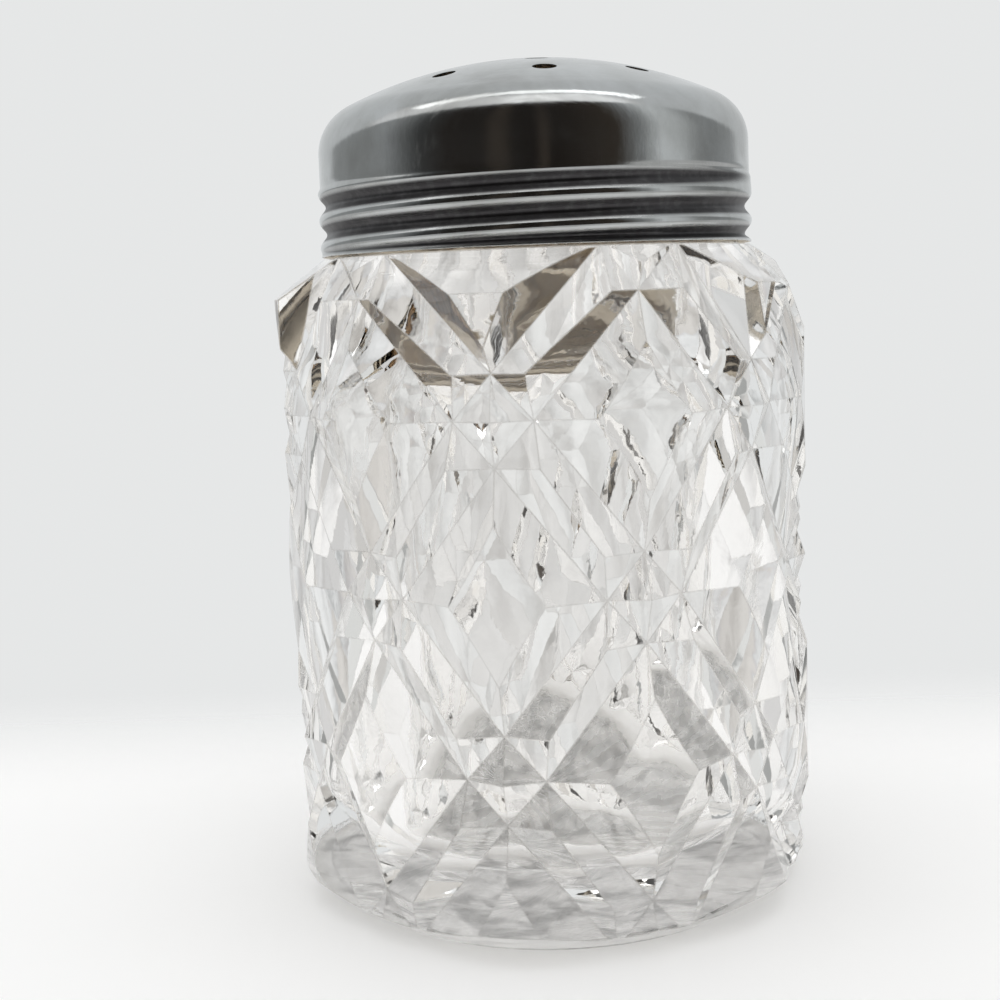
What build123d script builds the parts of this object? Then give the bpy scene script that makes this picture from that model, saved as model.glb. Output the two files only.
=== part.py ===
from build123d import *
import math
import os

# A cut-glass sugar shaker: a heavy faceted jar, a pierced metal cap that screws onto its
# neck, and the soft ring that seals the cap on the lip of the neck.
# Millimetres, +Z up, origin at the centre of the base. The front faces -Y.

# ---- glass jar: the turned form before it is cut ----
BODY_RADIUS = 36.0
BASE_RADIUS = 29.8              # flat that the jar stands on
BASE_BEVEL = 4.2                # height of the bevel between that flat and the body
SHOULDER_Z = 82.2               # the body ends and the sloping shoulder starts
NECK_Z = 87.2                   # the shoulder ends and the neck starts
SHOULDER_LEDGE = 1.7            # width of the shoulder's top around the neck
NECK_HEIGHT = 15.4              # from the shoulder to the lip
LIP_CHAMFER = 0.7

# ---- glass jar: the inside ----
BASE_THICKNESS = 8.0
WALL_THICKNESS = 6.5            # at the uncut body
NECK_WALL = 3.3
CAVITY_CORNER = 8.0             # rounding where the inside wall meets the floor
CAVITY_SHOULDER_DROP = 22.0     # the inside starts to narrow this far below the neck
CAVITY_NECK_DROP = 2.0          # and has narrowed to the bore this far below it

# ---- glass jar: the mitre cuts ----
REPEATS = 6                     # crossings around the jar in each row
FULL_ROWS = 3                   # whole rows of crossings between the foot and the shoulder
CUT_TURN = -9.8                 # degrees from the front to the nearest crossing of row 1
FOOT_ROW_Z = 1.5                # lowest row, most of its lower half below the jar
TOP_ROW_DROP = 20.0             # the top whole row lies this far below the neck
CROSSING_HALF_WIDTH = 4.9       # of the small pyramid where two pairs of cuts cross
CROSSING_HALF_HEIGHT = 5.6
CUT_DEPTH = 2.0                 # from the uncut body to the corners of the pyramids
PYRAMID_SETBACK = 0.15          # the pyramids' tips below the uncut body
RIDGE_SETBACK = 0.5             # the middle of the ridge between a pair of cuts, likewise
TABLE_RISE = 3.0                # how far past the body the sides of a diamond would meet
SHOULDER_RIDGE_SETBACK = 1.5    # of the ridges between the cuts that run over the shoulder
SHOULDER_TABLE_RISE = 8.0       # the rise of the half diamonds between those cuts
NECK_CUT_DEPTH = 0.4            # cuts where they run out at the neck
NECK_HALF_WIDTH = 5.3           # of the crossings there
NECK_WANDER = (5.5, -1.5, 2.0, -2.5, 1.0, -10.7)    # degrees each was cut off its place
RUN_OUT = 0.3                   # height above the neck that the cuts run out to

# ---- screw thread, the same helix on the glass and in the cap ----
THREAD_PITCH = 3.6
THREAD_END_ANGLE = 6.0          # from +X, where the cap's thread fades out at its top
FADE_TURN = 0.2                 # share of a turn over which a thread end fades
BEAD_HEIGHT = 0.85              # of the raised thread on the glass neck
BEAD_CREST_WIDTH = 0.8
BEAD_ROOT_WIDTH = 2.0
BEAD_TURNS = 1.6
BEAD_START = 1.9                # height of the bead's lower end above the shoulder
FLANK_GAP = 0.1                 # between the bead and the cap's thread beside it
THREAD_PER_TURN = 24            # points of each turn of a thread's edges

# ---- metal cap ----
SHEET = 0.5
CAP_RADIUS = 29.0               # plain wall, outside
THREAD_ZONE_STEP = 0.3          # the threaded skirt stands out this far beyond it
THREAD_ZONE_HEIGHT = 8.4        # from the rim to the step
RIM_GAP = 0.4                   # between the rim and the shoulder of the glass
THREAD_CLEARANCE = 0.45         # between the neck and the cap's thread around it
GROOVE_DEPTH = 0.75             # of the rolled thread, seen from outside
GROOVE_WIDTH = 1.5
GROOVE_ROOT_WIDTH = 0.5
CAP_HEIGHT = 25.1               # from the rim to the top of the dome
DOME_RADIUS = 58.4
CAP_CORNER = 6.6                # rounding between the wall and the dome
HOLE_DIAMETER = 3.05
HOLE_RINGS = ((0.0, 1), (10.0, 5), (19.0, 9))    # ring radius, number of holes
HOLE_TURN = 5.5                 # degrees from the front to the nearest hole

# ---- sealing ring ----
SEAL_THICKNESS = 1.5
SEAL_WIDTH = 3.2
SEAL_GAP = 0.1                  # between the ring's upper edge and the cap's corner

# ---- worked out from the sizes above ----
SKIRT_RADIUS = CAP_RADIUS + THREAD_ZONE_STEP
NECK_RADIUS = SKIRT_RADIUS - SHEET - GROOVE_DEPTH - THREAD_CLEARANCE
SHOULDER_TOP_RADIUS = NECK_RADIUS + SHOULDER_LEDGE
VALLEY_RADIUS = BODY_RADIUS - CUT_DEPTH
COLUMN_ANGLE = 180 / REPEATS
TOP_ROW_Z = NECK_Z - TOP_ROW_DROP
ROW_PITCH = (TOP_ROW_Z - FOOT_ROW_Z) / FULL_ROWS
NECK_BORE = NECK_RADIUS - NECK_WALL
LIP_Z = NECK_Z + NECK_HEIGHT
RIM_Z = NECK_Z + RIM_GAP
STEP_Z = RIM_Z + THREAD_ZONE_HEIGHT
CAP_TOP_Z = RIM_Z + CAP_HEIGHT
FUSE_DEPTH = 0.2                # how far a thread reaches into the wall that carries it
CLEAR = 1.0                     # how far a cut runs past the surface it opens
INNER_STEPS = 5                 # straight steps along each rounding of an inner wall


def row_z(row):
    """Height of a row of crossings: row 0 is at the neck and the last one at the foot."""
    if row == 0:
        return NECK_Z + RUN_OUT
    return TOP_ROW_Z - (row - 1) * ROW_PITCH


def lattice_point(radius, column, z):
    """A point of the cut pattern. Columns are half the distance between two crossings."""
    angle = math.radians(CUT_TURN - 90 + column * COLUMN_ANGLE)
    return Vector(radius * math.cos(angle), radius * math.sin(angle), z)


def between(points, radius, z):
    """The point in the middle of some others around the jar, at a radius and height."""
    middle = sum(points, Vector(0, 0, 0))
    return Vector(middle.X, middle.Y, 0).normalized() * radius + Vector(0, 0, z)


def crossing(row, column):
    """Corners and tip of the small pyramid where two pairs of cuts cross.

    Those at the neck lie on the slope of the shoulder and wander, as cut by eye.
    """
    z = row_z(row)
    middle = column
    side_radius = VALLEY_RADIUS
    half_width = CROSSING_HALF_WIDTH
    tip_radius = BODY_RADIUS - PYRAMID_SETBACK
    if row == 0:
        repeat = (column - 1) // 2 % REPEATS
        middle += NECK_WANDER[repeat % len(NECK_WANDER)] / COLUMN_ANGLE
        side_radius = SHOULDER_TOP_RADIUS - NECK_CUT_DEPTH
        half_width = NECK_HALF_WIDTH
        tip_radius = side_radius + CUT_DEPTH
    half_column = math.degrees(half_width / side_radius) / COLUMN_ANGLE
    return {
        "top": lattice_point(VALLEY_RADIUS, column, z + CROSSING_HALF_HEIGHT),
        "bottom": lattice_point(VALLEY_RADIUS, column, z - CROSSING_HALF_HEIGHT),
        "left": lattice_point(side_radius, middle - half_column, z),
        "right": lattice_point(side_radius, middle + half_column, z),
        "tip": lattice_point(tip_radius, middle, z),
    }


def facet(*points):
    """A flat face through the points."""
    return Face(Wire.make_polygon(points, close=True))


def band_facets(row, column, side):
    """The pair of cuts that runs down from a crossing to the next row, right or left of it.

    The two cuts share a ridge, and each end of the ridge is cut off by the crossing pair.
    """
    outer, inner = ("right", "left") if side > 0 else ("left", "right")
    above = crossing(row, column)
    below = crossing(row + 1, column + side)
    upper_z = above["bottom"].Z
    lower_z = below["top"].Z
    setback = RIDGE_SETBACK if row > 0 else SHOULDER_RIDGE_SETBACK
    corners = [above[outer], above["bottom"], below["top"], below[inner]]
    middle = between(corners, BODY_RADIUS - setback, (upper_z + lower_z) / 2)
    outer_normal = (below["top"] - above[outer]).cross(middle - above[outer])
    inner_normal = (below[inner] - above["bottom"]).cross(middle - above["bottom"])
    along = outer_normal.cross(inner_normal)
    upper_end = middle + along * ((upper_z - middle.Z) / along.Z)
    lower_end = middle + along * ((lower_z - middle.Z) / along.Z)
    return [
        facet(above[outer], below["top"], lower_end, upper_end),
        facet(above["bottom"], below[inner], lower_end, upper_end),
        facet(above[outer], above["bottom"], upper_end),
        facet(below["top"], below[inner], lower_end),
    ]


def cut_facets():
    """All the facets of the mitre cuts, closed above and below by plain fans."""
    last_row = FULL_ROWS + 1
    fan_top = Vector(0, 0, NECK_Z + BODY_RADIUS)
    fan_bottom = Vector(0, 0, -BODY_RADIUS)
    faces = []
    for row in range(last_row + 1):
        z = row_z(row)
        rise = SHOULDER_TABLE_RISE if row == 0 else TABLE_RISE
        for repeat in range(REPEATS):
            column = 2 * repeat + (row + 1) % 2
            here = crossing(row, column)
            after = crossing(row, column + 2)
            meet = between([here["right"], after["left"]], BODY_RADIUS + rise, z)
            if row > 0:
                above = crossing(row - 1, column + 1)
                faces.append(facet(here["left"], here["top"], here["tip"]))
                faces.append(facet(here["top"], here["right"], here["tip"]))
                faces.append(facet(here["right"], above["bottom"], meet))
                faces.append(facet(above["bottom"], after["left"], meet))
            if row < last_row:
                below = crossing(row + 1, column + 1)
                faces.append(facet(here["left"], here["bottom"], here["tip"]))
                faces.append(facet(here["bottom"], here["right"], here["tip"]))
                faces.append(facet(here["right"], below["top"], meet))
                faces.append(facet(below["top"], after["left"], meet))
                faces += band_facets(row, column, 1)
                faces += band_facets(row, column, -1)
            if row in (0, last_row):
                fan = fan_top if row == 0 else fan_bottom
                rim = [here["left"], here["tip"], here["right"], meet, after["left"]]
                faces += [facet(first, second, fan) for first, second in zip(rim, rim[1:])]
    return faces


def turned(outline):
    """A solid of revolution from the closed outline of its right half, in the XZ plane."""
    return revolve(make_face(Plane.XZ * outline), Axis.Z)


def stepped(curve):
    """Short straight steps along a rounding, for inner walls that take few faces."""
    return Polyline([curve @ (step / INNER_STEPS) for step in range(INNER_STEPS + 1)])


def jar_blank():
    """The turned body before it is cut: base bevel, upright side and sloping shoulder."""
    return turned(Polyline(
        (0, 0), (BASE_RADIUS, 0), (BODY_RADIUS, BASE_BEVEL), (BODY_RADIUS, SHOULDER_Z),
        (SHOULDER_TOP_RADIUS, NECK_Z), (0, NECK_Z), close=True))


def neck_blank():
    """The plain neck, chamfered at the lip."""
    foot = NECK_Z - FUSE_DEPTH
    return turned(Polyline(
        (0, foot), (NECK_RADIUS, foot), (NECK_RADIUS, LIP_Z - LIP_CHAMFER),
        (NECK_RADIUS - LIP_CHAMFER, LIP_Z), (0, LIP_Z), close=True))


def jar_cavity():
    """The inside of the jar: rounded floor, upright wall, and an S-curve up to the bore."""
    wall = BODY_RADIUS - WALL_THICKNESS
    curve_start = NECK_Z - CAVITY_SHOULDER_DROP
    curve_end = NECK_Z - CAVITY_NECK_DROP
    halfway = (curve_start + curve_end) / 2
    above = LIP_Z + CLEAR
    floor = Line((0, BASE_THICKNESS), (wall - CAVITY_CORNER, BASE_THICKNESS))
    corner = TangentArc(floor @ 1, (wall, BASE_THICKNESS + CAVITY_CORNER), tangent=(1, 0))
    side = Line(corner @ 1, (wall, curve_start))
    shoulder = Bezier(side @ 1, (wall, halfway), (NECK_BORE, halfway), (NECK_BORE, curve_end))
    bore = Polyline((NECK_BORE, curve_end), (NECK_BORE, above), (0, above), (0, BASE_THICKNESS))
    return turned(Curve() + [floor, stepped(corner), side, stepped(shoulder), bore])


def helical_solid(angle_end, z_end, turns, root_radius, crest_radius, root_width,
                  crest_width, faded_radius, fade_ends):
    """A thread of trapezoid section that ends at an angle and height after some turns.

    Its crest eases to the faded radius at the upper end, and at the lower end too if asked.
    """
    steps = round(turns * THREAD_PER_TURN)

    def edge(radius_at, offset):
        points = []
        for step in range(steps + 1):
            back = turns * (1 - step / steps)
            angle = math.radians(angle_end - 360 * back)
            radius = radius_at(back)
            points.append((radius * math.cos(angle), radius * math.sin(angle),
                           z_end - THREAD_PITCH * back + offset))
        return Spline(points)

    def crest(back):
        distance = min(back, turns - back) if fade_ends == 2 else back
        share = min(distance / FADE_TURN, 1)
        ease = share * share * (3 - 2 * share)
        return faded_radius + (crest_radius - faded_radius) * ease

    def root(back):
        return root_radius

    edges = [edge(root, -root_width / 2), edge(crest, -crest_width / 2),
             edge(crest, crest_width / 2), edge(root, root_width / 2)]
    sides = [Face.make_surface_from_curves(edges[i], edges[(i + 1) % 4]) for i in range(4)]
    ends = [facet(*[line @ at for line in edges]) for at in (0, 1)]
    return Solid(Shell(sides + ends))


def bead_offset():
    """How far the glass bead lies above the cap's thread, flank beside flank."""
    skirt_inside = SKIRT_RADIUS - SHEET
    ridge_tip = skirt_inside - GROOVE_DEPTH
    bead_tip = NECK_RADIUS + BEAD_HEIGHT
    ridge_slope = (GROOVE_WIDTH - GROOVE_ROOT_WIDTH) / 2 / GROOVE_DEPTH
    bead_slope = (BEAD_ROOT_WIDTH - BEAD_CREST_WIDTH) / 2 / BEAD_HEIGHT
    overlap = bead_tip - ridge_tip
    ridge_half = (GROOVE_ROOT_WIDTH + SHEET) / 2
    bead_half = BEAD_CREST_WIDTH / 2
    return ridge_half + bead_half + max(ridge_slope, bead_slope) * overlap + FLANK_GAP


def glass_bead():
    """The raised thread on the neck, faded at both ends."""
    cap_z_at_end_angle = STEP_Z + bead_offset()
    top_z = NECK_Z + BEAD_START + BEAD_TURNS * THREAD_PITCH
    back_turns = (cap_z_at_end_angle - top_z) / THREAD_PITCH
    return helical_solid(
        THREAD_END_ANGLE - 360 * back_turns, top_z, BEAD_TURNS,
        root_radius=NECK_RADIUS - 2 * FUSE_DEPTH, crest_radius=NECK_RADIUS + BEAD_HEIGHT,
        root_width=BEAD_ROOT_WIDTH, crest_width=BEAD_CREST_WIDTH,
        faded_radius=NECK_RADIUS - FUSE_DEPTH, fade_ends=2)


def glass_jar():
    """The jar: blank and facets in common, with the neck, its thread and the cavity."""
    body = jar_blank() & Solid(Shell(cut_facets()))
    return body + neck_blank() + glass_bead() - jar_cavity()


def cap_profile(inset):
    """Closed half outline of the cap's form, inset from its outside by some thickness."""
    wall = CAP_RADIUS - inset
    skirt = SKIRT_RADIUS - inset
    dome = DOME_RADIUS - inset
    dome_centre = CAP_TOP_Z - DOME_RADIUS
    corner_out = CAP_RADIUS - CAP_CORNER
    lean = math.asin(corner_out / (DOME_RADIUS - CAP_CORNER))
    corner_z = dome_centre + (DOME_RADIUS - CAP_CORNER) * math.cos(lean)
    join = (dome * math.sin(lean), dome_centre + dome * math.cos(lean))
    below = RIM_Z - THREAD_PITCH
    sides = Polyline((0, CAP_TOP_Z - inset), (0, below), (skirt, below), (skirt, STEP_Z),
                     (wall, STEP_Z + THREAD_ZONE_STEP), (wall, corner_z))
    rounding = TangentArc(sides @ 1, join, tangent=(0, 1))
    crown = TangentArc(join, sides @ 0, tangent=rounding % 1)
    if inset > 0:
        rounding, crown = stepped(rounding), stepped(crown)
    return Curve() + [sides, rounding, crown]


def cap_thread(root_radius, crest_radius, root_width, crest_width, faded_radius):
    """The cap's helix, from its faded top down past the rim."""
    turns = (STEP_Z - RIM_Z + GROOVE_WIDTH + SHEET + CLEAR) / THREAD_PITCH
    return helical_solid(
        THREAD_END_ANGLE, STEP_Z, turns, root_radius, crest_radius,
        root_width, crest_width, faded_radius, fade_ends=1)


def screw_cap():
    """A pressed sheet cap: domed top with pouring holes, and a skirt with a rolled thread."""
    inside = SKIRT_RADIUS - SHEET
    shell = turned(cap_profile(0)) - turned(cap_profile(SHEET))
    ridge = cap_thread(inside + FUSE_DEPTH, inside - GROOVE_DEPTH,
                       GROOVE_WIDTH + SHEET + FUSE_DEPTH, GROOVE_ROOT_WIDTH + SHEET,
                       inside + FUSE_DEPTH / 2)
    groove = cap_thread(SKIRT_RADIUS + FUSE_DEPTH, SKIRT_RADIUS - GROOVE_DEPTH,
                        GROOVE_WIDTH + FUSE_DEPTH, GROOVE_ROOT_WIDTH,
                        SKIRT_RADIUS + FUSE_DEPTH / 2)
    cap = shell + ridge - groove
    cap -= Pos(0, 0, RIM_Z) * Cylinder(
        CAP_RADIUS + THREAD_PITCH, 2 * THREAD_PITCH,
        align=(Align.CENTER, Align.CENTER, Align.MAX))
    punch = Pos(0, 0, DOME_RADIUS) * Cylinder(HOLE_DIAMETER / 2, 2 * CAP_CORNER)
    for ring_radius, count in HOLE_RINGS:
        lean = math.degrees(math.asin(ring_radius / DOME_RADIUS))
        for index in range(count):
            turn = HOLE_TURN - 90 + index * 360 / count
            cap -= Pos(0, 0, CAP_TOP_Z - DOME_RADIUS) * Rot(0, 0, turn) * Rot(0, lean, 0) * punch
    return cap


def seal_seat():
    """Outer radius of a ring that fills the cap's corner at the height of its upper face."""
    corner = CAP_CORNER - SHEET
    corner_out = CAP_RADIUS - CAP_CORNER
    lean = math.asin(corner_out / (DOME_RADIUS - CAP_CORNER))
    corner_z = CAP_TOP_Z - DOME_RADIUS + (DOME_RADIUS - CAP_CORNER) * math.cos(lean)
    up = max(LIP_Z + SEAL_THICKNESS - corner_z, 0)
    return corner_out + math.sqrt(corner ** 2 - up ** 2) - SEAL_GAP


def sealing_ring():
    """A flat soft ring between the lip of the glass and the rounded corner of the cap."""
    outside = seal_seat()
    ring = Cylinder(outside, SEAL_THICKNESS) - Cylinder(outside - SEAL_WIDTH, SEAL_THICKNESS)
    return Pos(0, 0, LIP_Z + SEAL_THICKNESS / 2) * ring


NODES = {
    "glass_jar": glass_jar,
    "screw_cap": screw_cap,
    "sealing_ring": sealing_ring,
}

os.makedirs("parts", exist_ok=True)
for name, make in NODES.items():
    node = make()
    node.label = name
    export_step(node, f"parts/{name}.step")
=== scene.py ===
import math

import bmesh
import bpy
from mathutils import Matrix, Vector, noise


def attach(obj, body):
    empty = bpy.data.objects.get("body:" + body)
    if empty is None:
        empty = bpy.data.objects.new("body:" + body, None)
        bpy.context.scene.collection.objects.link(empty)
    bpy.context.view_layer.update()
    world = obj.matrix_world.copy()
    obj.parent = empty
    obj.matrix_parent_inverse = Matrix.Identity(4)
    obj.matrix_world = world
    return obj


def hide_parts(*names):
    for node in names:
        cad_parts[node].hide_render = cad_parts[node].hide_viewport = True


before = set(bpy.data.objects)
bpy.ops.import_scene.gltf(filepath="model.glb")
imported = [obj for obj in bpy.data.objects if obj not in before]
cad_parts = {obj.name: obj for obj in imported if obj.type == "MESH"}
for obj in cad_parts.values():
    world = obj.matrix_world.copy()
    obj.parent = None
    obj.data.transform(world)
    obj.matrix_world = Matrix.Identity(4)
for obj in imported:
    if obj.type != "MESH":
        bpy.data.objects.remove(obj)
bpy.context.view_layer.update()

MM = 0.001

# ---- camera: where it stands and how it is held ----
CAMERA_DISTANCE = 207.63 * MM       # from the axis of the jar, towards -Y
CAMERA_HEIGHT = 82.45 * MM
CAMERA_PITCH = math.radians(8.02)   # looks down
CAMERA_ROLL = math.radians(-2.197)
CAMERA_YAW = math.radians(-1.722)
FOCAL_PIXELS = 1490.87              # focal length in pixels of the 1000 pixel frame
FRAME_PIXELS = 1000
SENSOR_WIDTH = 36.0                 # as the lens, in Blender's millimetres
CLIP_START = 10 * MM

# ---- glass: where its inside wall lies, which stays smooth ----
INSIDE_ABOVE = 6.5 * MM
INSIDE_RADII = ((65 * MM, 31.5 * MM), (85 * MM, 26.0 * MM))     # height, radius around it
FACET_EDGE = 9.0                    # degrees between two faces from which their edge is crisp
INSIDE_EDGE = 26.0                  # the same on the inside wall

# ---- glass: finish ----
GLASS_IOR = 1.52
GLASS_TINT = (0.992, 0.985, 0.974)
EDGE_SHADE_TINT = (0.62, 0.60, 0.575)     # painted shade: the glass is tinted darker along its outside cut edges, which draws them as grey lines
EDGE_BEND = (0.995, 0.95)           # cosines of the bend where that tint starts and is full
EDGE_RADIUS = 0.32 * MM             # how far the cut edges are polished round
EDGE_SAMPLES = 4
WAVE_HEIGHT = 0.3 * MM              # of the waves on the inside of the glass
SLOW_WAVE = 14 * MM
QUICK_WAVE = 5 * MM
QUICK_SHARE = 0.12                  # of the quick waves in those on the inside
POLISH_SHARE = 0.03                 # of the quick waves that the polish left all over
FOOT_WEAR = (0.6 * MM, 0.0)         # heights where the worn foot starts and is full
FOOT_GRAIN = 1.1 * MM
FOOT_GRAIN_SHARE = 0.35
STAIN_SIZE = 16 * MM
STAIN_ROUGHNESS = 0.06
STAR_RAYS = 24                      # radial cuts under the base
STAR_RADIUS = 26 * MM
STAR_DEPTH = 1.1 * MM               # at that radius
STAR_UNEVEN = 0.8                   # hand-ground waves on it, as a share of that depth
STAR_BELOW = (0.3 * MM, 0.2 * MM)   # heights where it starts and is full
STAR_WITHIN = (1.04 * STAR_RADIUS, STAR_RADIUS)     # radii likewise
STRAIGHT_TINT = (0.975, 0.97, 0.96)         # of light that goes straight through, as in a shadow
MIRRORINGS = 2.5                    # a ray that was mirrored more often goes straight through
PASSES = 8.5                        # and so does one that was bent more often

# ---- cap: a pressed sheet with the outline of the CAD cap ----
SHEET = 0.5 * MM
RIM_Z = 87.6 * MM
STEP_Z = 96.0 * MM
SKIRT_RADIUS = 29.3 * MM
CAP_RADIUS = 29.0 * MM
STEP_RUN = 0.9 * MM
CAP_TOP_Z = 112.7 * MM
DOME_RADIUS = 58.4 * MM
CORNER_RADIUS = 6.6 * MM
PITCH = 3.6 * MM
GROOVE_DEPTH = 0.95 * MM
GROOVE_INSIDE = 0.7                 # share of that depth that shows as a ridge inside
GROOVE_POWER = 1.2                  # above 1 the grooves are narrower than the ridges
RIM_FADE = 0.9 * MM                 # the grooves fade out towards the rim over this height
THREAD_END = math.radians(6.0)
THREAD_FADE = math.radians(72.0)
HOLE_RADIUS = 1.525 * MM
HOLE_RINGS = ((10.0 * MM, 5), (19.0 * MM, 9))       # besides the hole in the middle
HOLE_TURN = math.radians(5.5)
HOLE_SIDES = 40
HOLE_DIMPLE = 0.22 * MM             # how far the punch drew the edge of a hole down
HOLE_DIMPLE_REACH = 2.9 * MM        # from the middle of the hole
DIMPLED_DEPTH = 5 * MM              # no hole lies further below the top of the dome
PUNCH_LENGTH = 4 * MM
SLIVER = 0.02 * MM                  # slivers left by the punching that are narrower are closed
DENT_DEPTH = 0.06 * MM
DENT_SIZE = 11 * MM
FINE_DENT_SIZE = 0.45 * DENT_SIZE
FINE_DENT_SHARE = 0.35
FINE_DENT_SHIFT = Vector((7.0, 3.0, 1.0))
DENT_FADE = 6 * MM                  # the dents grow from nothing over this height above the skirt
COLUMNS = 240
SKIRT_ROWS = 58
STEP_ROWS = 6
WALL_ROWS = 8
CORNER_ROWS = 18
DOME_ROWS = 60
RIM_ROWS = 4
CAP_EDGE = math.radians(40)         # an edge with a sharper bend is crisp

# ---- cap: finish ----
PLATE = ((0.30, (0.34, 0.345, 0.335)), (0.50, (0.45, 0.46, 0.455)), (0.72, (0.55, 0.565, 0.57)))
CLOUD_SIZE = 13 * MM                # of the clouds of tarnish
SPECK_SIZE = 1.4 * MM
GRIME = (0.055, 0.053, 0.055)
GRIME_ROUGHNESS = 0.25
SKIRT_TOP = (STEP_Z + 0.5 * MM, STEP_Z - 0.1 * MM)              # heights where grime starts and is full
SUNK = (SKIRT_RADIUS - 0.06 * MM, SKIRT_RADIUS - 0.45 * MM)     # radii likewise
LINING = (0.54, 0.485, 0.40)
SCRATCH_TURN = (0.5, 0.9, 0.3)
SCRATCH_SCALE = (90, 1600, 260)

# ---- sealing ring ----
CORK_SHADES = ((0.05, (0.62, 0.42, 0.24)), (0.6, (0.50, 0.32, 0.17)), (0.9, (0.22, 0.12, 0.06)))
CORK_GRAIN_SCALE = 900.0
CORK_PIT = 0.1 * MM
CORK_EDGE = 30.0

# ---- room: colour all round, by degrees from the camera's side, counted to +X ----
COOL = (0.97, 1.0, 1.01)
BROWN = (1.25, 0.98, 0.74)
ROOM = ((-180, 0.72, COOL), (-155, 0.50, COOL), (-124, 0.40, COOL), (-100, 0.38, COOL),
        (-84, 0.36, COOL), (-70, 0.17, COOL), (-62, 0.06, COOL), (-45, 0.014, BROWN), (-25, 0.010, BROWN),
        (-20, 0.04, BROWN), (-14, 0.035, BROWN), (-10, 0.010, BROWN), (2, 0.008, BROWN),
        (6, 0.045, BROWN), (10, 0.010, BROWN), (22, 0.016, BROWN), (45, 0.035, BROWN),
        (58, 0.30, COOL), (70, 0.85, COOL), (82, 0.75, COOL), (95, 0.40, COOL),
        (107, 0.33, COOL), (125, 0.42, COOL), (146, 0.56, COOL), (180, 0.72, COOL))
CEILING = (0.76, 0.78, 0.79)
STRIP = ((-180, 0.0), (-125, 0.0), (-100, 0.9), (-78, 1.15), (-60, 1.0), (-45, 1.1), (-30, 1.2),
         (-15, 1.7), (0, 1.5), (13, 1.9), (28, 1.3), (43, 1.35), (64, 1.35), (76, 0.8),
         (86, 0.0), (180, 0.0))     # lit front edge of the ceiling
SHADE = ((-180, 0.0), (-112, 0.0), (-95, 0.6), (-60, 0.6), (-35, 0.35), (-20, 0.0), (25, 0.0),
         (40, 0.35), (60, 0.5), (80, 0.3), (95, 0.0), (180, 0.0))   # darker ceiling behind it
SHADE_COLOUR = (0.1, 0.1, 0.1)
CEILING_SLOPE = 0.7                 # the ceiling's edge is higher on the camera's side
CEILING_EDGE = (0.52, 0.60)         # rises over which the walls turn into the ceiling
STRIP_EDGE = (0.93, 0.88)           # and the lit strip ends
SHADE_START = (0.86, 0.93)          # the shade behind it starts
SHADE_END = (1.12, 1.02)            # and ends
TABLE = (0.66, 0.66, 0.66)
TABLE_EDGE = (-0.02, -0.12)         # slopes over which the walls turn into the table
BACKDROP = (0.79, 0.80, 0.80)       # as the camera sees it
SKYLIGHT = (1.03, 1.03, 1.03)       # as it lights the paper
GLASS_ROOM_SHARE = 0.60             # how much of the room's darkness shows through the glass
GLASS_ROOM_DARK = (0.50, 0.47, 0.43)        # and the darkest of it
BLOTCH_SCALE = 2.6
BLOTCHES = ((0.36, (0.70, 0.69, 0.68)), (0.50, 0.96), (0.64, 1.10))     # seen through the glass
LAMP_PLACE = (-0.02, -0.03, 0.6)
LAMP_SIZE = (0.8, 0.07)
LAMP_WATTS = 0.29

# ---- floor: a sheet of paper ----
FLOOR_RADIUS = 400 * MM
FLOOR_SIDES = 96
FLOOR_FADE = (0.4 * FLOOR_RADIUS, 0.95 * FLOOR_RADIUS)
FLOOR_BACK = (30 * MM, 104 * MM)    # behind the jar the sheet blends into the backdrop
PAPER = (0.93, 0.93, 0.925)
PAINTED_CAUSTIC_RADIUS = (31 * MM, 26 * MM)         # painted light and shade: the paper under the jar carries an uneven pattern that stands in for the light the jar gathers
PAINTED_CAUSTIC_SIZE = 9 * MM
PAINTED_CAUSTIC_SHADES = ((0.36, 0.80), (0.50, 0.95), (0.62, 1.0))


# ---- helpers: nodes ----
def new_material(name):
    """An empty node material and its tree."""
    material = bpy.data.materials.new(name)
    material.use_nodes = True
    tree = material.node_tree
    tree.nodes.clear()
    return material, tree


def add(tree, kind, **settings):
    """Adds a node. Settings that name an input set its value, the others set properties."""
    node = tree.nodes.new(kind)
    for key, value in settings.items():
        label = key.replace("_", " ")
        sockets = [s for s in node.inputs if s.name.lower() == label.lower()]
        if hasattr(node, key):
            setattr(node, key, value)
        elif sockets:
            sockets[0].default_value = value
        else:
            raise KeyError(f"{kind} has no {key}")
    return node


def feed(tree, socket, value):
    """Gives a socket a number, a colour or another node's output."""
    if isinstance(value, bpy.types.NodeSocket):
        tree.links.new(value, socket)
    elif isinstance(value, tuple) and socket.type == "RGBA":
        socket.default_value = (*value, 1)
    else:
        socket.default_value = value


def show(tree, surface, kind="ShaderNodeOutputMaterial"):
    """Ends a tree with a shader as its surface."""
    tree.links.new(surface, add(tree, kind).inputs["Surface"])


def split(tree, place):
    """The three coordinates of a place or direction."""
    parts = add(tree, "ShaderNodeSeparateXYZ")
    tree.links.new(place, parts.inputs[0])
    return parts.outputs


def ramp(tree, source, stops):
    """A colour ramp with stops of (position, grey or colour)."""
    node = add(tree, "ShaderNodeValToRGB")
    elements = node.color_ramp.elements
    while len(elements) < len(stops):
        elements.new(0.5)
    for element, (position, colour) in zip(elements, stops):
        if isinstance(colour, (int, float)):
            colour = (colour, colour, colour)
        element.position = position
        element.color = (*colour, 1.0)
    tree.links.new(source, node.inputs["Fac"])
    return node.outputs["Color"]


def round_ramp(tree, turn, stops):
    """A colour ramp all round, with stops of (degrees, grey or colour)."""
    return ramp(tree, turn, [(0.5 + degrees / 360, colour) for degrees, colour in stops])


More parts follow.
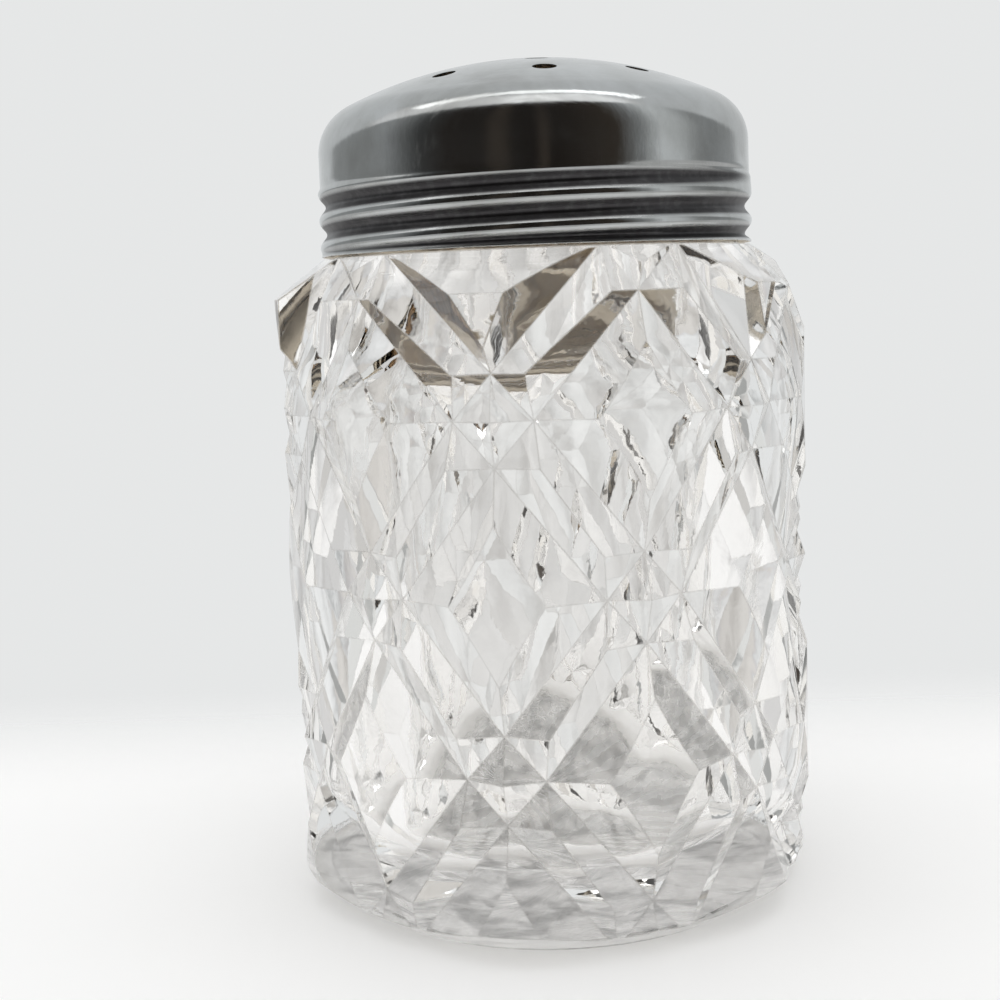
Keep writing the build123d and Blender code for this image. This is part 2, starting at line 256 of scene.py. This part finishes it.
def calc(tree, operation, *values):
    """A math node on numbers or other nodes' outputs."""
    node = add(tree, "ShaderNodeMath", operation=operation)
    for slot, value in zip(node.inputs, values):
        feed(tree, slot, value)
    return node.outputs[0]


def product(tree, first, *others):
    """All values multiplied."""
    for other in others:
        first = calc(tree, "MULTIPLY", first, other)
    return first


def vector_calc(tree, operation, first, second):
    """A vector math node on two vectors."""
    node = add(tree, "ShaderNodeVectorMath", operation=operation)
    feed(tree, node.inputs[0], first)
    feed(tree, node.inputs[1], second)
    return node.outputs["Value" if operation == "DOT_PRODUCT" else "Vector"]


def mixed(tree, share, first, second, how="MIX"):
    """Mixes two colours by a share."""
    node = add(tree, "ShaderNodeMix", data_type="RGBA", blend_type=how)
    first_colour, second_colour = [s for s in node.inputs if s.type == "RGBA"]
    feed(tree, node.inputs["Factor"], share)
    feed(tree, first_colour, first)
    feed(tree, second_colour, second)
    return next(s for s in node.outputs if s.type == "RGBA")


def mixed_shaders(tree, share, first, second):
    """Mixes two shaders by a share."""
    node = add(tree, "ShaderNodeMixShader")
    for slot, value in zip(node.inputs, (share, first, second)):
        tree.links.new(value, slot)
    return node.outputs[0]


def between(tree, value, low, high, start=0.0, end=1.0, smooth=True):
    """Maps a value from low..high to start..end and clamps it."""
    node = add(tree, "ShaderNodeMapRange", From_Min=low, From_Max=high, To_Min=start, To_Max=end)
    if smooth:
        node.interpolation_type = "SMOOTHSTEP"
    tree.links.new(value, node.inputs["Value"])
    return node.outputs[0]


def noise_field(tree, place, scale, detail=2.0, roughness=0.5, distortion=0.0):
    """Value of a noise texture over the surface."""
    node = add(tree, "ShaderNodeTexNoise", Scale=scale, Detail=detail, Roughness=roughness,
               Distortion=distortion)
    tree.links.new(place, node.inputs["Vector"])
    return node.outputs["Fac"]


def bumped(tree, height, normal=None, **settings):
    """Normal of a surface with a bump on it, on top of another normal if one is given."""
    node = add(tree, "ShaderNodeBump", **settings)
    tree.links.new(height, node.inputs["Height"])
    if normal is not None:
        tree.links.new(normal, node.inputs["Normal"])
    return node.outputs["Normal"]


def radius_and_height(tree, place):
    """Distance from the axis of the jar and height, of a point on the surface."""
    x, y, z = split(tree, place)
    square = calc(tree, "ADD", calc(tree, "MULTIPLY", x, x), calc(tree, "MULTIPLY", y, y))
    return calc(tree, "SQRT", square), z


# ---- materials ----
def star_cuts(tree, place, uneven):
    """Height of the radial cuts under the base, 0 elsewhere."""
    radius, height = radius_and_height(tree, place)
    x, y, _ = split(tree, place)
    turn = calc(tree, "ARCTAN2", y, x)
    ray = calc(tree, "PINGPONG", calc(tree, "MULTIPLY", turn, STAR_RAYS / math.tau), 0.5)
    span = calc(tree, "MINIMUM", calc(tree, "DIVIDE", radius, STAR_RADIUS), 1.0)
    below = product(tree, between(tree, height, *STAR_BELOW), between(tree, radius, *STAR_WITHIN))
    cuts = product(tree, span, calc(tree, "MULTIPLY", ray, 2.0))
    waves = calc(tree, "MULTIPLY", uneven, STAR_UNEVEN)
    return product(tree, below, calc(tree, "ADD", cuts, waves))


def cut_glass():
    """Clear cut glass: flat polished facets, a wavy inside, cut edges drawn darker with painted shade, and
    faint stains.
    """
    material, tree = new_material("cut_glass")
    place = add(tree, "ShaderNodeTexCoord").outputs["Object"]
    glass = add(tree, "ShaderNodeBsdfPrincipled", IOR=GLASS_IOR, Transmission_Weight=1.0)

    radius, height = radius_and_height(tree, place)
    (low, wide), (high, narrow) = INSIDE_RADII
    bound = between(tree, height, low, high, wide, narrow, smooth=False)
    inside = product(tree, calc(tree, "LESS_THAN", radius, bound),
                     calc(tree, "GREATER_THAN", height, INSIDE_ABOVE))

    slow = noise_field(tree, place, 1 / SLOW_WAVE, 2.0, 0.55, 0.6)
    quick = noise_field(tree, place, 1 / QUICK_WAVE, 3.0, 0.6, 0.4)
    grain = noise_field(tree, place, 1 / FOOT_GRAIN, 4.0, 0.65)
    worn = product(tree, between(tree, height, *FOOT_WEAR), calc(tree, "MULTIPLY", grain, FOOT_GRAIN_SHARE))
    polish = calc(tree, "ADD", calc(tree, "MULTIPLY", quick, POLISH_SHARE), worn)
    waves = calc(tree, "ADD", slow, calc(tree, "MULTIPLY", quick, QUICK_SHARE))
    relief = calc(tree, "ADD", polish, product(tree, inside, waves))

    edge = add(tree, "ShaderNodeBevel", samples=EDGE_SAMPLES, Radius=EDGE_RADIUS).outputs["Normal"]
    wavy = bumped(tree, relief, edge, Strength=1.0, Distance=WAVE_HEIGHT)
    star = bumped(tree, star_cuts(tree, place, quick), wavy, Strength=1.0, Distance=STAR_DEPTH)
    tree.links.new(star, glass.inputs["Normal"])

    flat = add(tree, "ShaderNodeNewGeometry").outputs["True Normal"]
    bend = vector_calc(tree, "DOT_PRODUCT", edge, flat)
    # painted shade: the outside cut edges get a darker tint, the inside wall does not
    shaded_edge = product(tree, between(tree, bend, *EDGE_BEND), calc(tree, "SUBTRACT", 1.0, inside))
    tree.links.new(mixed(tree, shaded_edge, GLASS_TINT, EDGE_SHADE_TINT), glass.inputs["Base Color"])
    stain = noise_field(tree, place, 1 / STAIN_SIZE, 5.0, 0.6)
    tree.links.new(between(tree, stain, 0.5, 0.8, 0.0, STAIN_ROUGHNESS), glass.inputs["Roughness"])

    rays = add(tree, "ShaderNodeLightPath").outputs
    straight = add(tree, "ShaderNodeBsdfTransparent", Color=(*STRAIGHT_TINT, 1))
    deep = calc(tree, "MAXIMUM", calc(tree, "GREATER_THAN", rays["Glossy Depth"], MIRRORINGS),
                calc(tree, "GREATER_THAN", rays["Transmission Depth"], PASSES))
    passed = calc(tree, "MAXIMUM", deep, rays["Is Shadow Ray"])
    show(tree, mixed_shaders(tree, passed, glass.outputs[0], straight.outputs[0]))
    return material


def silver_plate():
    """Tarnished silver plate: black in the thread, cloudy on the wall, dull inside, scratched."""
    material, tree = new_material("silver_plate")
    place = add(tree, "ShaderNodeTexCoord").outputs["Object"]
    metal = add(tree, "ShaderNodeBsdfPrincipled", Metallic=1.0)

    radius, height = radius_and_height(tree, place)
    cloud = noise_field(tree, place, 1 / CLOUD_SIZE, 5.0, 0.6, 0.5)
    speck = noise_field(tree, place, 1 / SPECK_SIZE, 4.0, 0.65)
    grime = product(tree, between(tree, height, *SKIRT_TOP), between(tree, radius, *SUNK),
                    between(tree, speck, 0.25, 0.6, 0.93, 1.0))
    outside = mixed(tree, grime, ramp(tree, cloud, PLATE), GRIME)
    surface = add(tree, "ShaderNodeNewGeometry").outputs
    outward = vector_calc(tree, "MULTIPLY", surface["Position"], (1, 1, 0))
    facing = vector_calc(tree, "DOT_PRODUCT", outward, surface["Normal"])
    lined = mixed(tree, calc(tree, "LESS_THAN", facing, 0.0), outside, LINING)
    tree.links.new(lined, metal.inputs["Base Color"])

    scratches = add(tree, "ShaderNodeMapping", Rotation=SCRATCH_TURN, Scale=SCRATCH_SCALE)
    tree.links.new(place, scratches.inputs["Vector"])
    lines = noise_field(tree, scratches.outputs[0], 1.0, 3.0, 0.6)
    dull = calc(tree, "ADD", calc(tree, "MULTIPLY", grime, GRIME_ROUGHNESS),
                between(tree, lines, 0.55, 0.8, 0.0, 0.12))
    rough = calc(tree, "ADD", between(tree, cloud, 0.35, 0.7, 0.15, 0.08), dull)
    tree.links.new(rough, metal.inputs["Roughness"])
    relief = calc(tree, "ADD", lines, calc(tree, "MULTIPLY", speck, 0.8))
    tree.links.new(bumped(tree, relief, Strength=0.35, Distance=0.03 * MM), metal.inputs["Normal"])
    show(tree, metal.outputs["BSDF"])
    return material


def cork():
    """Compressed cork: light brown with dark grains and small pits."""
    material, tree = new_material("cork")
    place = add(tree, "ShaderNodeTexCoord").outputs["Object"]
    body = add(tree, "ShaderNodeBsdfPrincipled", Roughness=0.85)
    grains = add(tree, "ShaderNodeTexVoronoi", Scale=CORK_GRAIN_SCALE)
    tree.links.new(place, grains.inputs["Vector"])
    grain = grains.outputs["Distance"]
    tree.links.new(ramp(tree, grain, CORK_SHADES), body.inputs["Base Color"])
    tree.links.new(bumped(tree, grain, Strength=0.5, Distance=CORK_PIT), body.inputs["Normal"])
    show(tree, body.outputs["BSDF"])
    return material


# ---- pieces ----
def crisp_facets(piece, limit_degrees, inside_limit_degrees=None):
    """Shows flat facets with crisp edges and keeps round walls smooth.

    The second limit holds for the inside wall of the glass.
    """
    group = bpy.data.node_groups.new(f"crisp_{piece.name}", "GeometryNodeTree")
    group.interface.new_socket("Geometry", in_out="INPUT", socket_type="NodeSocketGeometry")
    group.interface.new_socket("Geometry", in_out="OUTPUT", socket_type="NodeSocketGeometry")

    def compare(operation, value, limit):
        node = add(group, "FunctionNodeCompare", operation=operation)
        group.links.new(value, node.inputs["A"])
        feed(group, node.inputs["B"], limit)
        return node.outputs["Result"]

    def both(operation, first, second):
        node = add(group, "FunctionNodeBooleanMath", operation=operation)
        group.links.new(first, node.inputs[0])
        group.links.new(second, node.inputs[1])
        return node.outputs[0]

    angle = add(group, "GeometryNodeInputMeshEdgeAngle").outputs["Unsigned Angle"]
    soft = compare("LESS_THAN", angle, math.radians(limit_degrees))
    if inside_limit_degrees is not None:
        place = add(group, "GeometryNodeInputPosition").outputs[0]
        radius, height = radius_and_height(group, place)
        (low, wide), (high, narrow) = INSIDE_RADII
        bound = between(group, height, low, high, wide, narrow, smooth=False)
        within = both("AND", compare("LESS_THAN", radius, bound),
                      compare("GREATER_THAN", height, INSIDE_ABOVE))
        gentle = compare("LESS_THAN", angle, math.radians(inside_limit_degrees))
        soft = both("OR", soft, both("AND", within, gentle))

    weld = add(group, "GeometryNodeMergeByDistance", Distance=0.002 * MM)
    bare = add(group, "GeometryNodeRemoveAttribute", Name="custom_normal")
    faces = add(group, "GeometryNodeSetShadeSmooth")
    edges = add(group, "GeometryNodeSetShadeSmooth", domain="EDGE")
    group.links.new(soft, edges.inputs["Shade Smooth"])
    chain = [add(group, "NodeGroupInput"), weld, bare, faces, edges, add(group, "NodeGroupOutput")]
    for before, after in zip(chain, chain[1:]):
        group.links.new(before.outputs[0], after.inputs[0])
    modifier = piece.modifiers.new("crisp_facets", "NODES")
    modifier.node_group = group


def dress(node_name, material):
    """Gives a CAD node its material."""
    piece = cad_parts[node_name]
    piece.data.materials.clear()
    piece.data.materials.append(material)
    return piece


def link(name, data):
    """Puts a mesh, a lamp or a camera into the scene as an object."""
    piece = bpy.data.objects.new(name, data)
    bpy.context.scene.collection.objects.link(piece)
    return piece


def mesh_from(maker, name):
    """Turns a bmesh into a mesh."""
    mesh = bpy.data.meshes.new(name)
    maker.to_mesh(mesh)
    maker.free()
    return mesh


def eased(share):
    """0 to 1 with a soft start and end."""
    return share * share * (3 - 2 * share)


def groove_depth(angle, z):
    """How deep the rolled thread is at an angle around the skirt and a height."""
    depth = 0.0
    back = (THREAD_END - angle) % math.tau
    while STEP_Z - PITCH * back / math.tau > RIM_Z - PITCH:
        offset = (z - STEP_Z) / PITCH + back / math.tau
        if abs(offset) < 0.5:
            wave = (0.5 + 0.5 * math.cos(math.tau * offset)) ** GROOVE_POWER
            depth = max(depth, GROOVE_DEPTH * eased(min(back / THREAD_FADE, 1.0)) * wave)
        back += math.tau
    return depth


def cap_outline():
    """Half outline from the rim to the hole in the middle: radius, height and normal."""
    rows = []
    low = RIM_Z + SHEET / 2
    for step in range(SKIRT_ROWS + 1):
        rows.append((SKIRT_RADIUS, low + (STEP_Z - low) * step / SKIRT_ROWS, 1.0, 0.0))
    for step in range(1, STEP_ROWS + 1):
        share = step / STEP_ROWS
        radius = SKIRT_RADIUS + (CAP_RADIUS - SKIRT_RADIUS) * eased(share)
        rows.append((radius, STEP_Z + STEP_RUN * share, 1.0, 0.0))
    out = CAP_RADIUS - CORNER_RADIUS
    centre_z = CAP_TOP_Z - DOME_RADIUS
    lean = math.asin(out / (DOME_RADIUS - CORNER_RADIUS))
    corner_z = centre_z + (DOME_RADIUS - CORNER_RADIUS) * math.cos(lean)
    wall_bottom = STEP_Z + STEP_RUN
    for step in range(1, WALL_ROWS):
        rows.append((CAP_RADIUS, wall_bottom + (corner_z - wall_bottom) * step / WALL_ROWS, 1.0, 0.0))
    upright = math.radians(90)
    for step in range(CORNER_ROWS + 1):
        turn = upright - (upright - lean) * step / CORNER_ROWS
        rows.append((out + CORNER_RADIUS * math.sin(turn), corner_z + CORNER_RADIUS * math.cos(turn),
                     math.sin(turn), math.cos(turn)))
    last = math.asin(HOLE_RADIUS / DOME_RADIUS)
    for step in range(1, DOME_ROWS + 1):
        turn = lean + (last - lean) * step / DOME_ROWS
        rows.append((DOME_RADIUS * math.sin(turn), centre_z + DOME_RADIUS * math.cos(turn),
                     math.sin(turn), math.cos(turn)))
    return rows


def hole_places():
    """Middle of each pouring hole on the dome and the direction it was punched from."""
    centre = Vector((0, 0, CAP_TOP_Z - DOME_RADIUS))
    places = []
    for ring, count in HOLE_RINGS:
        lean = math.asin(ring / DOME_RADIUS)
        for index in range(count):
            turn = HOLE_TURN - math.pi / 2 + index * math.tau / count
            out = Vector((math.sin(lean) * math.cos(turn), math.sin(lean) * math.sin(turn), math.cos(lean)))
            places.append((centre + out * DOME_RADIUS, out))
    return places


def wear(point, height, holes):
    """How far the sheet was knocked and drawn in at a point of its outside."""
    shallow = noise.noise(point / DENT_SIZE) * 0.5 + 0.5
    fine = noise.noise(point / FINE_DENT_SIZE + FINE_DENT_SHIFT) * 0.5 + 0.5
    share = min(max((height - STEP_Z) / DENT_FADE, 0.0), 1.0)
    dent = DENT_DEPTH * share * (shallow + FINE_DENT_SHARE * fine)
    if height > CAP_TOP_Z - DIMPLED_DEPTH:
        near = min((point - place).length for place, out in holes)
        near = min(near, math.hypot(point.x, point.y))
        if near < HOLE_DIMPLE_REACH:
            dent += HOLE_DIMPLE * (1 - near / HOLE_DIMPLE_REACH) ** 2
    return dent


def cap_sheet(holes):
    """The cap's sheet before the holes are punched, with its rolled thread and rim."""
    maker = bmesh.new()
    asides = [Vector((math.cos(math.tau * column / COLUMNS), math.sin(math.tau * column / COLUMNS), 0))
              for column in range(COLUMNS)]

    def ring(row, inset):
        radius, z, out, up = row
        verts = []
        for column, aside in enumerate(asides):
            outside = aside * radius + Vector((0, 0, z))
            depth = wear(outside, z, holes)
            if z < STEP_Z + STEP_RUN:
                rim_share = min((z - RIM_Z) / RIM_FADE, 1.0)
                groove = groove_depth(math.tau * column / COLUMNS, z) * rim_share
                depth += groove * (1 if inset == 0 else GROOVE_INSIDE)
            normal = aside * out + Vector((0, 0, up))
            verts.append(maker.verts.new(outside - normal * (depth + inset)))
        return verts

    outline = cap_outline()
    rings = [ring(row, 0.0) for row in outline]
    rings += [ring(row, SHEET) for row in reversed(outline)]
    for step in range(1, RIM_ROWS):
        turn = math.pi * step / RIM_ROWS
        radius = SKIRT_RADIUS - SHEET / 2 - SHEET / 2 * math.cos(turn)
        height = Vector((0, 0, RIM_Z + SHEET / 2 - SHEET / 2 * math.sin(turn)))
        rings.append([maker.verts.new(aside * radius + height) for aside in asides])
    for here, there in zip(rings, rings[1:] + rings[:1]):
        for column in range(COLUMNS):
            beside = (column + 1) % COLUMNS
            maker.faces.new((here[column], here[beside], there[beside], there[column]))
    bmesh.ops.recalc_face_normals(maker, faces=maker.faces)
    return link("cap_blank", mesh_from(maker, "cap_sheet"))


def cap_punches(holes):
    """A round punch through the sheet at each hole."""
    maker = bmesh.new()
    for place, out in holes:
        turn = out.to_track_quat("Z", "Y").to_matrix().to_4x4()
        bmesh.ops.create_cone(maker, cap_ends=True, segments=HOLE_SIDES, radius1=HOLE_RADIUS,
                              radius2=HOLE_RADIUS, depth=PUNCH_LENGTH,
                              matrix=Matrix.Translation(place) @ turn)
    return link("punches", mesh_from(maker, "punches"))


def close_slivers(mesh):
    """Closes the slivers that the punching leaves, so that the mesh is watertight."""
    maker = bmesh.new()
    maker.from_mesh(mesh)
    bmesh.ops.remove_doubles(maker, verts=maker.verts, dist=SLIVER)
    bmesh.ops.dissolve_degenerate(maker, edges=maker.edges, dist=SLIVER)
    many_sided = [face for face in maker.faces if len(face.verts) > 4]
    bmesh.ops.triangulate(maker, faces=many_sided, ngon_method="BEAUTY")
    maker.to_mesh(mesh)
    maker.free()


def screw_cap(material):
    """The cap as one worn sheet: rolled thread, rim, dents and punched pouring holes."""
    holes = hole_places()
    blank = cap_sheet(holes)
    punches = cap_punches(holes)
    cut = blank.modifiers.new("holes", "BOOLEAN")
    cut.operation = "DIFFERENCE"
    cut.solver = "EXACT"
    cut.object = punches
    bpy.context.view_layer.update()
    evaluated = blank.evaluated_get(bpy.context.evaluated_depsgraph_get())
    pierced = bpy.data.meshes.new_from_object(evaluated)
    bpy.data.objects.remove(blank)
    bpy.data.objects.remove(punches)
    close_slivers(pierced)
    pierced.materials.clear()
    pierced.materials.append(material)
    pierced.name = "pierced_cap"
    pierced.shade_smooth()
    pierced.set_sharp_from_angle(angle=CAP_EDGE)
    piece = link("pierced_cap", pierced)
    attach(piece, "cap")
    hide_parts("screw_cap")


# ---- studio ----
def make_camera():
    """The camera of the picture."""
    data = bpy.data.cameras.new("camera")
    data.sensor_width = SENSOR_WIDTH
    data.lens = FOCAL_PIXELS / FRAME_PIXELS * SENSOR_WIDTH
    data.clip_start = CLIP_START
    camera = link("camera", data)
    side = Vector((math.cos(CAMERA_YAW), -math.sin(CAMERA_YAW), 0))
    level = Vector((math.sin(CAMERA_YAW), math.cos(CAMERA_YAW), 0))
    up = Vector((0, 0, 1))
    forward = level * math.cos(CAMERA_PITCH) - up * math.sin(CAMERA_PITCH)
    tilted_up = level * math.sin(CAMERA_PITCH) + up * math.cos(CAMERA_PITCH)
    right = side * math.cos(CAMERA_ROLL) + tilted_up * math.sin(CAMERA_ROLL)
    top = tilted_up * math.cos(CAMERA_ROLL) - side * math.sin(CAMERA_ROLL)
    turn = Matrix((right, top, -forward)).transposed().to_4x4()
    camera.matrix_world = Matrix.Translation((0, -CAMERA_DISTANCE, CAMERA_HEIGHT)) @ turn
    bpy.context.scene.camera = camera


def room_colour(tree, direction):
    """What polish shows: a dark room, a ceiling with a lit front edge, and the table."""
    x, y, z = split(tree, direction)
    angle = calc(tree, "ARCTAN2", x, calc(tree, "MULTIPLY", y, -1.0))
    turn = between(tree, angle, -math.pi, math.pi, smooth=False)
    rise = calc(tree, "ADD", z, calc(tree, "MULTIPLY", y, CEILING_SLOPE))
    walls = round_ramp(tree, turn, [(degrees, [shade * part for part in tint])
                                    for degrees, shade, tint in ROOM])
    shade = product(tree, round_ramp(tree, turn, SHADE),
                    product(tree, between(tree, rise, *SHADE_START), between(tree, rise, *SHADE_END)))
    dulled = mixed(tree, shade, CEILING, SHADE_COLOUR)
    strip = product(tree, round_ramp(tree, turn, STRIP), between(tree, rise, *STRIP_EDGE))
    ceiling = mixed(tree, 1.0, dulled, strip, "LIGHTEN")
    upper = mixed(tree, between(tree, rise, *CEILING_EDGE), walls, ceiling)
    return mixed(tree, between(tree, z, *TABLE_EDGE), upper, TABLE)


def through_glass(tree, room, direction):
    """What the glass shows: backdrop and a lighter room, slightly uneven."""
    lighter = mixed(tree, 1.0, GLASS_ROOM_DARK, room, "LIGHTEN")
    through = mixed(tree, GLASS_ROOM_SHARE, BACKDROP, lighter)
    blotch = noise_field(tree, direction, BLOTCH_SCALE, 3.0, 0.55)
    return mixed(tree, 1.0, through, ramp(tree, blotch, BLOTCHES), "MULTIPLY")


def make_world():
    """Pale backdrop all round, and a dark room on the camera's side that polish shows."""
    world = bpy.data.worlds.new("studio")
    bpy.context.scene.world = world
    world.use_nodes = True
    tree = world.node_tree
    tree.nodes.clear()
    direction = add(tree, "ShaderNodeTexCoord").outputs["Generated"]
    room = room_colour(tree, direction)
    rays = add(tree, "ShaderNodeLightPath").outputs
    polished = mixed(tree, rays["Is Transmission Ray"], room, through_glass(tree, room, direction))
    backdrop = mixed(tree, rays["Is Camera Ray"], SKYLIGHT, BACKDROP)
    bent = calc(tree, "MAXIMUM", rays["Is Glossy Ray"], rays["Is Transmission Ray"])
    sky = add(tree, "ShaderNodeBackground", Strength=1.0)
    tree.links.new(mixed(tree, bent, backdrop, polished), sky.inputs["Color"])
    show(tree, sky.outputs[0], "ShaderNodeOutputWorld")


def make_floor():
    """A white sheet of paper that fades into the pale backdrop, with painted caustic light and shade under
    the jar.
    """
    maker = bmesh.new()
    bmesh.ops.create_circle(maker, cap_ends=True, segments=FLOOR_SIDES, radius=FLOOR_RADIUS)
    floor = link("floor", mesh_from(maker, "floor"))
    material, tree = new_material("paper")
    place = add(tree, "ShaderNodeTexCoord").outputs["Object"]
    paper = add(tree, "ShaderNodeBsdfPrincipled", Roughness=0.8)
    radius, _ = radius_and_height(tree, place)
    # painted light and shade: an uneven caustic pattern in the paper's colour under the jar
    painted_caustic = ramp(tree, noise_field(tree, place, 1 / PAINTED_CAUSTIC_SIZE, 2.0, 0.5, 1.2), PAINTED_CAUSTIC_SHADES)
    colour = mixed(tree, between(tree, radius, *PAINTED_CAUSTIC_RADIUS), PAPER, painted_caustic)
    tree.links.new(colour, paper.inputs["Base Color"])
    _, y, _ = split(tree, place)
    faded = calc(tree, "MAXIMUM", between(tree, radius, *FLOOR_FADE), between(tree, y, *FLOOR_BACK))
    clear = add(tree, "ShaderNodeBsdfTransparent")
    show(tree, mixed_shaders(tree, faded, paper.outputs[0], clear.outputs[0]))
    floor.data.materials.append(material)


def make_lamp():
    """A soft strip lamp that hangs over the object and faces straight down."""
    data = bpy.data.lights.new("lamp_overhead", "AREA")
    data.shape = "RECTANGLE"
    data.size, data.size_y = LAMP_SIZE
    data.energy = LAMP_WATTS
    lamp = link("lamp_overhead", data)
    lamp.location = LAMP_PLACE


make_camera()
make_world()
make_floor()
make_lamp()

crisp_facets(dress("glass_jar", cut_glass()), FACET_EDGE, INSIDE_EDGE)
screw_cap(silver_plate())
crisp_facets(dress("sealing_ring", cork()), CORK_EDGE)

bpy.context.scene.view_settings.view_transform = "Standard"
